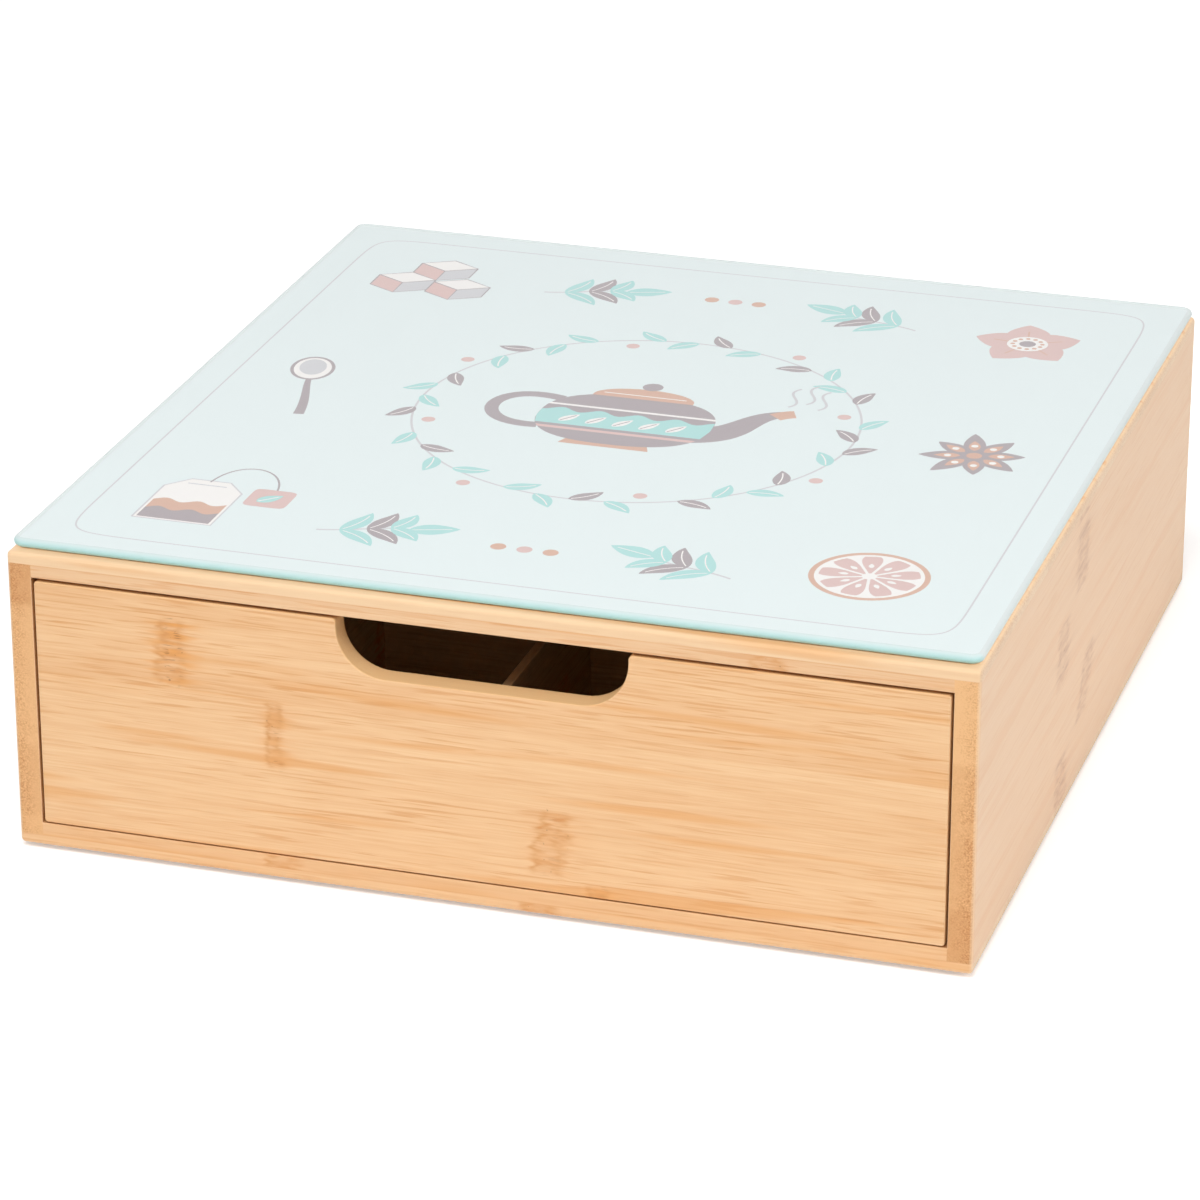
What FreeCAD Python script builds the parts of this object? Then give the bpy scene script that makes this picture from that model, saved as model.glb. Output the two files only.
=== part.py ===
import FreeCAD, Part
import os

from FreeCAD import Vector

# A bamboo box with one drawer for tea bags, under a printed glass top.
# Millimetres. X runs left to right, Y from the front to the back, Z up.
# The origin is under the middle of the box, on the surface that it stands on.

# Case: five boards, the top and bottom ones rabbeted over the side boards
case_width = 310.0
case_depth = 320.0
case_height = 100.0
case_board = 8.0
case_tongue = 3.7  # what the rabbet leaves of the top and bottom boards over a side board
case_rounding = 1.5  # outer edges, sanded round after the boards are glued
opening_rounding = 0.4  # front edges of the drawer's opening

# Feet: thin anti-slip discs under the corners
foot_diameter = 12.0
foot_thickness = 1.5
foot_inset = 16.0  # from the case's edges to a foot's centre
foot_rounding = 0.4

# Glass top, printed on its underside and held by clear adhesive pads
glass_thickness = 3.0
glass_side_inset = 0.5
glass_front_inset = 2.3
glass_back_inset = 0.5
glass_corner_radius = 4.0
glass_edge_rounding = 1.2  # ground nearly to a half round
print_thickness = 0.2
print_inset = 1.5  # from the edge of the glass, on its flat underside
pad_diameter = 14.0
pad_thickness = 0.4
pad_inset = 30.0  # from the edge of the glass to a pad's centre

# Running gaps of the drawer in the case
side_gap = 0.8
top_gap = 1.1
bottom_gap = 0.4
back_gap = 0.5

# Drawer front, with the finger cut-out in its top edge
front_board = 8.0
front_corner_radius = 1.1
front_rounding = 0.5
cutout_width = 93.4
cutout_depth = 18.3
cutout_corner_radius = 15.5
cutout_mouth_radius = 1.5

# Drawer walls behind the front
wall_board = 6.0
wall_drop = 2.0  # from the front's top edge down to theirs
wall_rounding = 0.6
front_rabbet = 4.0  # how deep the side walls sit in the front
back_rabbet = 3.0  # how deep the back wall sits in the side walls

# Drawer bottom: a thin panel in a groove round all four walls
panel_board = 3.0
panel_lift = 3.0  # from the walls' lower edge to the panel's underside
panel_groove = 3.0

# Dividers, half-lapped where they cross, with their ends in shallow grooves
divider_board = 3.0
divider_height = 50.5
divider_groove = 1.5
divider_rounding = 0.4
columns = 4
rows = 3

fit_clearance = 0.1  # between a panel or divider and the groove or slot that holds it
overrun = 1.0  # how far a cutting block runs past the wood
tolerance = 0.001  # two places closer than this are one place

# Faces and levels of the case
case_half = case_width / 2
case_front = -case_depth / 2
case_rear = case_depth / 2
case_low = foot_thickness
case_high = case_low + case_height
opening_half = case_half - case_board
opening_low = case_low + case_board
opening_high = case_high - case_board
opening_rear = case_rear - case_board

# Faces and levels of the glass
print_low = case_high + pad_thickness
glass_low = print_low + print_thickness
glass_half = case_half - glass_side_inset
glass_front = case_front + glass_front_inset
glass_rear = case_rear - glass_back_inset

# Faces and levels of the drawer
drawer_half = opening_half - side_gap
drawer_low = opening_low + bottom_gap
drawer_high = opening_high - top_gap
drawer_rear = opening_rear - back_gap
wall_high = drawer_high - wall_drop
inner_half = drawer_half - wall_board
inner_front = case_front + front_board
inner_rear = drawer_rear - wall_board
panel_low = drawer_low + panel_lift
divider_low = panel_low + panel_board
divider_high = divider_low + divider_height
divider_middle = divider_low + divider_height / 2


def block(x, y, z):
    """A box between the two ends given along each axis, in either order."""
    corner = Vector(min(x), min(y), min(z))
    return Part.makeBox(max(x) - min(x), max(y) - min(y), max(z) - min(z), corner)


def same(a, b):
    """Whether two places along an axis are one place."""
    return abs(a - b) < tolerance


def rounded(shape, radius, chosen):
    """The shape with a fillet on each edge whose bounding box passes the test."""
    return shape.makeFillet(radius, [e for e in shape.Edges if chosen(e.BoundBox)])


def outline(corners, place):
    """A face with square corners, each turned by a quarter arc of its own radius.

    A corner is (u, v, radius), and place(u, v) gives its point in space.
    """
    points = [place(u, v) for u, v, radius in corners]
    edges = []
    last = None
    for i in range(-1, len(corners)):
        point = points[i]
        radius = corners[i][2]
        inward = (point - points[i - 1]).normalize()
        onward = (points[(i + 1) % len(points)] - point).normalize()
        start = point - inward * radius
        end = point + onward * radius
        centre = start + onward * radius
        middle = centre + (point - centre).normalize() * radius
        if i >= 0:
            if (start - last).Length > tolerance:
                edges.append(Part.LineSegment(last, start).toShape())
            edges.append(Part.Arc(start, middle, end).toShape())
        last = end
    return Part.Face(Part.Wire(edges))


def by_corner(low_y, high_y, half):
    """The four corners of a rectangle about the middle plane, by name."""
    return {
        "front_left": (-half, low_y),
        "front_right": (half, low_y),
        "back_left": (-half, high_y),
        "back_right": (half, high_y),
    }


def sanded_case():
    """The whole case as one hollow body, its edges sanded as after the glue is dry."""
    width = (-case_half, case_half)
    depth = (case_front, case_rear)
    body = block(width, depth, (case_low, case_high))
    body = rounded(body, case_rounding, lambda box: True)
    width = (-opening_half, opening_half)
    height = (opening_low, opening_high)
    body = body.cut(block(width, (case_front - overrun, opening_rear), height))
    return rounded(
        body,
        opening_rounding,
        lambda box: same(box.YMin, case_front)
        and same(box.YMax, case_front)
        and box.XMax < opening_half + tolerance
        and box.XMin > -opening_half - tolerance
        and box.ZMax < opening_high + tolerance
        and box.ZMin > opening_low - tolerance,
    )


def case_boards():
    """The five boards, each the part of the sanded case that its own block holds."""
    sanded = sanded_case()
    depth = (case_front, case_rear)
    cut_depth = (case_front - overrun, case_rear + overrun)
    boards = {}
    levels = {
        "case_top": (case_high, opening_high, case_high - case_tongue),
        "case_bottom": (case_low, opening_low, case_low + case_tongue),
    }
    for name, (outer, inner, shoulder) in levels.items():
        board = block((-case_half, case_half), depth, (outer, inner))
        for side in (-1, 1):
            rabbet_x = (side * opening_half, side * (case_half + overrun))
            board = board.cut(block(rabbet_x, cut_depth, (shoulder, inner)))
        boards[name] = board.common(sanded)
    height = (case_low + case_tongue, case_high - case_tongue)
    for name, side in (("left", -1), ("right", 1)):
        board = block((side * opening_half, side * case_half), depth, height)
        boards[f"case_{name}_side"] = board.common(sanded)
    boards["case_back"] = block(
        (-opening_half, opening_half),
        (opening_rear, case_rear),
        (opening_low, opening_high),
    )
    return boards


def feet():
    """Four discs under the case, rounded where they meet the table."""
    half = case_half - foot_inset
    places = by_corner(case_front + foot_inset, case_rear - foot_inset, half)
    discs = {}
    for name, (x, y) in places.items():
        disc = Part.makeCylinder(foot_diameter / 2, foot_thickness, Vector(x, y, 0))
        discs[f"foot_{name}"] = rounded(
            disc,
            foot_rounding,
            lambda box: same(box.ZMax, 0),
        )
    return discs


def glass_plate(inset, low, thickness):
    """A plate with the outline of the glass, drawn in by inset."""
    radius = glass_corner_radius - inset
    places = by_corner(glass_front + inset, glass_rear - inset, glass_half - inset)
    order = ("front_left", "front_right", "back_right", "back_left")
    corners = [(*places[name], radius) for name in order]
    face = outline(corners, lambda x, y: Vector(x, y, low))
    return face.extrude(Vector(0, 0, thickness))


def glass_top():
    """The plate with ground edges, the print under it and the pads below both."""
    pieces = {
        "glass_top": rounded(
            glass_plate(0, glass_low, glass_thickness),
            glass_edge_rounding,
            lambda box: same(box.ZMin, box.ZMax),
        ),
        "glass_print": glass_plate(print_inset, print_low, print_thickness),
    }
    half = glass_half - pad_inset
    places = by_corner(glass_front + pad_inset, glass_rear - pad_inset, half)
    places["centre"] = (0, (glass_front + glass_rear) / 2)
    for name, (x, y) in places.items():
        centre = Vector(x, y, case_high)
        disc = Part.makeCylinder(pad_diameter / 2, pad_thickness, centre)
        pieces[f"glass_pad_{name}"] = disc
    return pieces


def spread(low, high, cells):
    """Middles of the dividers that part the room from low to high into equal cells."""
    cell = (high - low - (cells - 1) * divider_board) / cells
    step = cell + divider_board
    return [low + i * step - divider_board / 2 for i in range(1, cells)]


long_places = spread(-inner_half, inner_half, columns)
cross_places = spread(inner_front, inner_rear, rows)


def long_room(x, reach, play, height):
    """A front-to-back divider's room, reaching past the inner faces of the walls."""
    half = divider_board / 2 + play
    return block((x - half, x + half), (inner_front - reach, inner_rear + reach), height)


def cross_room(y, reach, play, height):
    """A left-to-right divider's room, reaching past the inner faces of the walls."""
    half = divider_board / 2 + play
    width = (-inner_half - reach, inner_half + reach)
    return block(width, (y - half, y + half), height)


def grooved(board):
    """A wall of the drawer with its grooves for the panel and the divider ends."""
    board = board.cut(
        block(
            (-inner_half - panel_groove, inner_half + panel_groove),
            (inner_front - panel_groove, inner_rear + panel_groove),
            (panel_low, divider_low + fit_clearance),
        )
    )
    height = (divider_low, divider_high + fit_clearance)
    for x in long_places:
        board = board.cut(long_room(x, divider_groove, fit_clearance, height))
    for y in cross_places:
        board = board.cut(cross_room(y, divider_groove, fit_clearance, height))
    return board


def soft_topped(board, radius):
    """A board with its two long top edges rounded."""
    whole = board.BoundBox
    along_y = whole.YLength > whole.XLength
    return rounded(
        board,
        radius,
        lambda box: same(box.ZMin, whole.ZMax)
        and same(box.XMin if along_y else box.YMin, box.XMax if along_y else box.YMax),
    )


def drawer_front():
    """The front: its outline with the cut-out, then rabbets and grooves behind."""
    corner = front_corner_radius
    mouth = cutout_mouth_radius
    cutout_half = cutout_width / 2
    cutout_low = drawer_high - cutout_depth
    cutout_corner = min(cutout_corner_radius, cutout_depth - mouth)
    corners = [
        (-drawer_half, drawer_low, corner),
        (drawer_half, drawer_low, corner),
        (drawer_half, drawer_high, corner),
        (cutout_half, drawer_high, mouth),
        (cutout_half, cutout_low, cutout_corner),
        (-cutout_half, cutout_low, cutout_corner),
        (-cutout_half, drawer_high, mouth),
        (-drawer_half, drawer_high, corner),
    ]
    face = outline(corners, lambda x, z: Vector(x, case_front, z))
    board = face.extrude(Vector(0, front_board, 0))
    board = rounded(board, front_rounding, lambda box: same(box.YMin, box.YMax))
    rabbet_y = (inner_front - front_rabbet, inner_front + overrun)
    rabbet_z = (drawer_low - overrun, wall_high)
    for side in (-1, 1):
        rabbet_x = (side * inner_half, side * (drawer_half + overrun))
        board = board.cut(block(rabbet_x, rabbet_y, rabbet_z))
    return grooved(board)


def drawer_walls():
    """The side walls, rabbeted for the back wall, and the back wall between them."""
    height = (drawer_low, wall_high)
    back_half = inner_half + back_rabbet
    walls = {}
    for name, side in (("left", -1), ("right", 1)):
        board = block(
            (side * inner_half, side * drawer_half),
            (inner_front - front_rabbet, drawer_rear),
            height,
        )
        rabbet = block(
            (side * (inner_half - overrun), side * back_half),
            (inner_rear, drawer_rear + overrun),
            (drawer_low - overrun, wall_high + overrun),
        )
        board = soft_topped(board, wall_rounding).cut(rabbet)
        walls[f"drawer_{name}_side"] = grooved(board)
    board = block((-back_half, back_half), (inner_rear, drawer_rear), height)
    walls["drawer_back"] = grooved(soft_topped(board, wall_rounding))
    return walls


def drawer_bottom():
    """The bottom panel, a little smaller all round than the groove that holds it."""
    reach = panel_groove - fit_clearance
    return block(
        (-inner_half - reach, inner_half + reach),
        (inner_front - reach, inner_rear + reach),
        (panel_low, divider_low),
    )


def dividers():
    """Long dividers slotted from above, and cross dividers slotted from below."""
    reach = divider_groove - fit_clearance
    height = (divider_low, divider_high)
    upper = (divider_middle - fit_clearance, divider_high + overrun)
    lower = (divider_low - overrun, divider_middle + fit_clearance)
    boards = {}
    for number, x in enumerate(long_places, 1):
        board = soft_topped(long_room(x, reach, 0, height), divider_rounding)
        for y in cross_places:
            board = board.cut(cross_room(y, 0, fit_clearance, upper))
        boards[f"divider_long_{number}"] = board
    for number, y in enumerate(cross_places, 1):
        board = soft_topped(cross_room(y, reach, 0, height), divider_rounding)
        for x in long_places:
            board = board.cut(long_room(x, 0, fit_clearance, lower))
        boards[f"divider_cross_{number}"] = board
    return boards


def export(pieces):
    """Writes each piece to a STEP file of its own, after a check that it is sound."""
    os.makedirs("parts", exist_ok=True)
    for name, shape in pieces.items():
        solid = shape.Solids[0]
        if len(shape.Solids) != 1 or not solid.isValid():
            raise ValueError(f"{name} isn't one sound solid")
        solid.exportStep(f"parts/{name}.step")
        print(name, "volume", round(solid.Volume), "mm3")


export(case_boards())
export(feet())
export(glass_top())
export({"drawer_front": drawer_front(), "drawer_bottom": drawer_bottom()})
export(drawer_walls())
export(dividers())
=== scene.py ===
# %% [markdown]
# A bamboo drawer box with a printed glass top
# The box is glued up from pressed bamboo boards. One drawer fills it, and a sheet of glass
# lies on top with its picture printed on the underside, where nothing can scratch it.
# The boards and the glass come in as a fixed frame at their real size, in metres, with the
# front of the box towards -Y. This notebook only gives them their finishes, their print and
# their light.

# %% Load the frame
import math

import bmesh
import bpy
import numpy as np
from mathutils import Matrix, Vector


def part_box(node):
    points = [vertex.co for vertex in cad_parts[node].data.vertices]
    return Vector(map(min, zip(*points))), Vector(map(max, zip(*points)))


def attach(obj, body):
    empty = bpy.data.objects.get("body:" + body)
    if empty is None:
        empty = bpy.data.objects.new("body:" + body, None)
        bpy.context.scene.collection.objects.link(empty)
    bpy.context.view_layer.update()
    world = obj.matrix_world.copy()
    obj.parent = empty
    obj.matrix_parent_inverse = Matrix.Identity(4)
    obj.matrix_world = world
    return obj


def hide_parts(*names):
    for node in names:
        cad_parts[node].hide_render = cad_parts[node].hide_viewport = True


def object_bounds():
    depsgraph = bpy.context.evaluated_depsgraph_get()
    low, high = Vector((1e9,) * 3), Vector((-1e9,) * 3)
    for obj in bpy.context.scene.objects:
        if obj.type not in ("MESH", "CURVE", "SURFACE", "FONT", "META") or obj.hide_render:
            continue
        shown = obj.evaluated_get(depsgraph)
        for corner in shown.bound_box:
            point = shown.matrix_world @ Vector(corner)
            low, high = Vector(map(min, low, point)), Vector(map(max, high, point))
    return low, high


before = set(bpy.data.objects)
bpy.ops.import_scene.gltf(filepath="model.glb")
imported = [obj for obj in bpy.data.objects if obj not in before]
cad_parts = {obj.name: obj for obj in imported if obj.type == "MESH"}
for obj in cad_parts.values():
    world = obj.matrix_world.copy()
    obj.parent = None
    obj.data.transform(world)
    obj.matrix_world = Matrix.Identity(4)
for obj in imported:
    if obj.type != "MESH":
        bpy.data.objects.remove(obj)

cad_low, cad_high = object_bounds()
MM = 0.001
print("pieces in the frame:", len(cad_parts))
print("size of the box:", [round(v, 4) for v in cad_high - cad_low])

# %% [markdown]
# Camera
# A camera is placed by where it stands and by three turns. It starts looking straight down,
# so it is first tipped up from the floor, then turned round the vertical, and the last turn,
# about its own axis, levels the horizon. The long lens keeps the box's edges nearly parallel,
# as a product photographer would.

# %% Camera
CAMERA_PLACE = Vector((0.453084, -1.481607, 0.700369))
CAMERA_AZIMUTH = math.radians(17.44)
CAMERA_ELEVATION = math.radians(23.10)
CAMERA_ROLL = math.radians(-0.059)
CAMERA_LENS = 151.34
FILM_WIDTH = 36.0

camera_data = bpy.data.cameras.new("camera")
camera_data.lens = CAMERA_LENS
camera_data.sensor_width = FILM_WIDTH
camera = bpy.data.objects.new("camera", camera_data)
camera.matrix_world = (
    Matrix.Translation(CAMERA_PLACE)
    @ Matrix.Rotation(CAMERA_AZIMUTH, 4, "Z")
    @ Matrix.Rotation(math.pi / 2 - CAMERA_ELEVATION, 4, "X")
    @ Matrix.Rotation(CAMERA_ROLL, 4, "Z")
)
bpy.context.scene.collection.objects.link(camera)
bpy.context.scene.camera = camera
bpy.context.scene.view_settings.view_transform = "Standard"
print("camera looks along", [round(v, 3) for v in camera.matrix_world.col[2][:3]])

# %% [markdown]
# A short hand for shader nodes
# A material is a graph of small steps. Written out in full, each step takes five lines, so
# this class gives one short word to each kind of step: it makes the node, feeds its inputs
# with numbers or with other steps, and gives back its output.


# %% Short words for shader nodes
class Steps:
    """Makes the steps of one node tree. Most words give back an output socket."""

    def __init__(self, tree):
        self.tree = tree

    def node(self, kind, feeds=None, **settings):
        """A new node, with its settings set and its inputs fed."""
        made = self.tree.nodes.new(kind)
        for name, value in settings.items():
            setattr(made, name, value)
        for name, value in (feeds or {}).items():
            self.feed(made.inputs[name], value)
        return made

    def feed(self, socket, value):
        """Links an output to an input, or sets the input to a plain number or colour."""
        if isinstance(value, bpy.types.NodeSocket):
            self.tree.links.new(value, socket)
        else:
            socket.default_value = value

    def math(self, operation, *values, clamp=False):
        """One operation on numbers. clamp keeps its result between 0 and 1."""
        feeds = dict(enumerate(values))
        return self.node("ShaderNodeMath", feeds, operation=operation, use_clamp=clamp).outputs[0]

    def join(self, x, y, z):
        """Three numbers as one vector."""
        return self.node("ShaderNodeCombineXYZ", {0: x, 1: y, 2: z}).outputs[0]

    def split(self, vector):
        """The three numbers of a vector."""
        return self.node("ShaderNodeSeparateXYZ", {0: vector}).outputs

    def ramp(self, value, low, high):
        """0 below low, 1 above high, and a smooth rise between them."""
        feeds = {"Value": value, "From Min": low, "From Max": high}
        return self.node("ShaderNodeMapRange", feeds, interpolation_type="SMOOTHSTEP").outputs[0]

    def mix(self, share, first, second):
        """The first colour where share is 0, the second where it is 1."""
        feeds = {0: share, 6: first, 7: second}
        return self.node("ShaderNodeMix", feeds, data_type="RGBA").outputs[2]

    def noise(self, place, detail=2.0, roughness=0.5):
        """Smooth noise about 0.5, whose largest cells are one unit long."""
        feeds = {"Vector": place, "Scale": 1.0, "Detail": detail, "Roughness": roughness}
        return self.node("ShaderNodeTexNoise", feeds).outputs["Fac"]

    def random(self, number):
        """A chance value from 0 to 1, always the same one for the same number."""
        made = self.node("ShaderNodeTexWhiteNoise", {"W": number}, noise_dimensions="1D")
        return made.outputs["Value"]


def colour(red, green, blue):
    """A colour as it looks on a screen, 0 to 255, as the linear light that a shader counts in."""
    shares = np.array([red, green, blue]) / 255
    return (*np.where(shares <= 0.04045, shares / 12.92, ((shares + 0.055) / 1.055) ** 2.4), 1.0)


SOCKET_KINDS = {"f": "NodeSocketFloat", "v": "NodeSocketVector", "c": "NodeSocketColor"}


def new_group(name, takes, gives):
    """A shader node group; takes and gives say each socket as a name and a letter for its kind."""
    tree = bpy.data.node_groups.new(name, "ShaderNodeTree")
    for label, kind in takes.items():
        tree.interface.new_socket(name=label, in_out="INPUT", socket_type=SOCKET_KINDS[kind])
    for label, kind in gives.items():
        tree.interface.new_socket(name=label, in_out="OUTPUT", socket_type=SOCKET_KINDS[kind])
    steps = Steps(tree)
    return steps, steps.node("NodeGroupInput").outputs, steps.node("NodeGroupOutput").inputs


def new_material(name):
    """A material that holds one Principled shader, the steps to feed it, and that shader."""
    material = bpy.data.materials.new(name)
    material.use_nodes = True
    shader = material.node_tree.nodes["Principled BSDF"]
    return material, Steps(material.node_tree), shader


def set_plain(shader, values):
    """Sets a shader's own sockets to numbers or colours that are the same all over a surface."""
    for label, value in values.items():
        shader.inputs[label].default_value = value


# %% [markdown]
# Studio
# The box stands in a white room: a pale floor and a weak white light from all round. Three
# large soft lamps do the rest: the strongest stands high in front, so the sawn lip of the
# finger cut-out is nearly as bright as the front, and two others lift the right side and
# the back. The lip's colour is also painted lighter, against the shade of the top board.
# The floor and the room are told apart from the light they give: to the camera,
# and in reflections, they are plain white, while the light that falls on the box keeps its
# own level. The floor still darkens where the box shades it.

# %% Studio
WHITE = (1.0, 1.0, 1.0, 1.0)
ROOM_LIGHT = 0.33


def seen_directly(steps):
    """1 for rays that show a thing: from the camera, off a gloss or through glass."""
    rays = steps.node("ShaderNodeLightPath").outputs
    glossy_or_camera = steps.math("MAXIMUM", rays["Is Camera Ray"], rays["Is Glossy Ray"])
    return steps.math("MAXIMUM", glossy_or_camera, rays["Is Transmission Ray"])


world = bpy.data.worlds.new("white_room")
world.use_nodes = True
room = Steps(world.node_tree)
background = world.node_tree.nodes["Background"]
background.inputs["Color"].default_value = WHITE
room_level = room.math("MULTIPLY_ADD", seen_directly(room), 1.0 - ROOM_LIGHT, ROOM_LIGHT)
room.feed(background.inputs["Strength"], room_level)
bpy.context.scene.world = world

# %% Floor
FLOOR_SIZE = 8.0
FLOOR_COLOUR = (0.92, 0.92, 0.92, 1.0)
FLOOR_GLOW = 0.36

floor_mesh = bpy.data.meshes.new("floor")
half = FLOOR_SIZE / 2
corners = [(-half, -half, 0.0), (half, -half, 0.0), (half, half, 0.0), (-half, half, 0.0)]
floor_mesh.from_pydata(corners, [], [(0, 1, 2, 3)])
floor = bpy.data.objects.new("floor", floor_mesh)
bpy.context.scene.collection.objects.link(floor)

floor_material, steps, shader = new_material("pale_floor")
set_plain(shader, {"Base Color": FLOOR_COLOUR, "Roughness": 0.9, "Specular IOR Level": 0.0,
                   "Emission Color": WHITE})
glow = steps.math("MULTIPLY", seen_directly(steps), FLOOR_GLOW)
steps.feed(shader.inputs["Emission Strength"], glow)
floor_mesh.materials.append(floor_material)


# %% Lamps
def soft_lamp(name, place, size, power):
    """A square lamp that shines at the box's middle and shows in no reflection."""
    data = bpy.data.lights.new(name, "AREA")
    data.size = size
    data.energy = power
    lamp = bpy.data.objects.new(name, data)
    lamp.location = place
    aim = (cad_low + cad_high) / 2 - Vector(place)
    lamp.rotation_euler = aim.to_track_quat("-Z", "Y").to_euler()
    lamp.visible_glossy = False
    bpy.context.scene.collection.objects.link(lamp)


soft_lamp("key_lamp", (0.1, -1.4, 2.2), 1.4, 44.5)
soft_lamp("right_lamp", (2.2, 0.2, 1.4), 1.2, 13.5)
soft_lamp("back_lamp", (-1.5, 2.4, 0.9), 1.4, 9.0)
print("studio: room light", ROOM_LIGHT, "and", len(bpy.data.lights), "lamps")

# %% [markdown]
# Strips of bamboo
# A bamboo stem is a thin tube, so a wide board has to be glued up from flat strips, each
# about as wide as a thumb. Every strip has its own tone and carries a node, the ring where
# the stem was jointed, somewhere along it. The first group says, for a point of a board,
# which strip it is on, how far from the strip's middle, and how near to a glued joint. It
# also gives the strip's lane, a number that no other strip has, from which all its chances
# are drawn. All groups read board coordinates: X along the fibres, Y across the strips, Z
# through the board's thickness.

# %% Group: strips
JOINT_WIDTH = 0.35 * MM

steps, takes, gives = new_group(
    "strips",
    {"Board": "v", "Width": "f", "Shift": "f", "Upper Ply": "f", "Seed": "f"},
    {"Strip": "f", "Lane": "f", "Off Middle": "f", "Joint": "f"},
)
_, across, _ = steps.split(takes["Board"])
counted = steps.math("DIVIDE", steps.math("SUBTRACT", across, takes["Shift"]), takes["Width"])
whole = steps.math("FLOOR", counted)
strip = steps.math("MULTIPLY_ADD", takes["Upper Ply"], 100.0, whole)
off_share = steps.math("SUBTRACT", steps.math("SUBTRACT", counted, whole), 0.5)
off_middle = steps.math("MULTIPLY", off_share, takes["Width"])
half_strip = steps.math("MULTIPLY", takes["Width"], 0.5)
to_joint = steps.math("SUBTRACT", half_strip, steps.math("ABSOLUTE", off_middle))
steps.feed(gives["Strip"], strip)
steps.feed(gives["Lane"], steps.math("MULTIPLY_ADD", strip, 3.71, takes["Seed"]))
steps.feed(gives["Off Middle"], off_middle)
steps.feed(gives["Joint"], steps.math("SUBTRACT", 1.0, steps.ramp(to_joint, 0.0, JOINT_WIDTH)))

# %% [markdown]
# Nodes
# At a node the stem was closed by a wall. Pressed flat, it shows as a band about a finger's
# width long: a ragged brown line, a mottled stretch, and a softer second line, with a few
# pinholes. It is drawn as two bell curves and a plateau over the distance from the node,
# after that distance has been made ragged by noise. Some nodes are burnt: orange smears run
# out of them along the fibres, and short dark cracks stand in their middle. The noise is
# given by its cells to the metre along, across and through the board, and a line by where it
# lies and how wide it is.


# %% Noise and curves
def solid_noise(steps, place, stretch, lane, detail=2.0, roughness=0.5):
    """Noise with stretch cells to the metre. The lane moves it, so each strip has its own part."""
    shift = steps.join(lane, lane, lane)
    feeds = {0: place, 1: stretch, 2: shift}
    moved = steps.node("ShaderNodeVectorMath", feeds, operation="MULTIPLY_ADD")
    return steps.noise(moved.outputs[0], detail, roughness)


def swing(steps, value, amount):
    """How far a noise is from its middle, times amount."""
    return steps.math("MULTIPLY", steps.math("SUBTRACT", value, 0.5), amount)


def bell(steps, value, middle, width):
    """A bell curve: e to the power of minus the square of the distance over the width."""
    share = steps.math("DIVIDE", steps.math("SUBTRACT", value, middle), width)
    square = steps.math("MULTIPLY", share, share)
    return steps.math("EXPONENT", steps.math("MULTIPLY", square, -1.0))


# %% Group: stem node
NODE_SPACING = 0.34
NEAR_LINE = (-4.0 * MM, 1.5 * MM)
NEAR_DEPTH = 0.34
FAR_LINE = (3.4 * MM, 2.4 * MM)
FAR_DEPTH = 0.16
NODE_REACH = (2.5 * MM, 7.5 * MM)
NODE_HALO = 10.0 * MM
WANDER = (90.0, 130.0, 130.0)
TEAR = (110.0, 700.0, 700.0)
MOTTLE = (170.0, 620.0, 620.0)
SMEARS = (14.0, 420.0, 420.0)
PINHOLES = (900.0, 900.0, 900.0)

steps, takes, gives = new_group(
    "stem_node",
    {"Board": "v", "Lane": "f", "From Node": "f", "Node Width": "f", "Node Lines": "f",
     "Burnt": "f"},
    {"Brown": "f", "Specks": "f", "Halo": "f", "Orange": "f"},
)
board, lane = takes["Board"], takes["Lane"]
wrapped = steps.math("WRAP", takes["From Node"], NODE_SPACING / 2, -NODE_SPACING / 2)
reach = steps.math("DIVIDE", wrapped, takes["Node Width"])
wander = swing(steps, solid_noise(steps, board, WANDER, lane, 1.0), 5.0 * MM)
tear = swing(steps, solid_noise(steps, board, TEAR, lane, 2.0), 9.0 * MM)
ragged = steps.math("ADD", reach, steps.math("ADD", wander, tear))
halo = bell(steps, reach, 0.0, NODE_HALO)
near_line = steps.math("MULTIPLY", bell(steps, ragged, *NEAR_LINE), NEAR_DEPTH)
far_line = steps.math("MULTIPLY", bell(steps, ragged, *FAR_LINE), FAR_DEPTH)
body = steps.math("SUBTRACT", 1.0, steps.ramp(steps.math("ABSOLUTE", ragged), *NODE_REACH))
mottle = steps.ramp(solid_noise(steps, board, MOTTLE, lane, 2.0), 0.36, 0.66)
brown = steps.math("MULTIPLY", steps.math("ADD", near_line, far_line), takes["Node Lines"])
brown = steps.math("MULTIPLY", brown, steps.math("MULTIPLY_ADD", mottle, 0.7, 0.65))
brown = steps.math("MULTIPLY_ADD", body, steps.math("MULTIPLY_ADD", mottle, 0.34, 0.12), brown)
smear = steps.ramp(solid_noise(steps, board, SMEARS, lane, 2.0), 0.42, 0.66)
smear = steps.math("MULTIPLY", smear, 0.30)
brown = steps.math("MULTIPLY_ADD", halo, smear, brown, clamp=True)
steps.feed(gives["Brown"], brown)
steps.feed(gives["Halo"], halo)

# %% Burnt nodes and pinholes
CRACKS = (210.0, 1300.0, 1300.0)
CRACK_MIDDLE = (1.0 * MM, 3.2 * MM)
LICKS = (60.0, 440.0, 440.0)
LICK_REACH = (1.5 * MM, 9.0 * MM)

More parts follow.
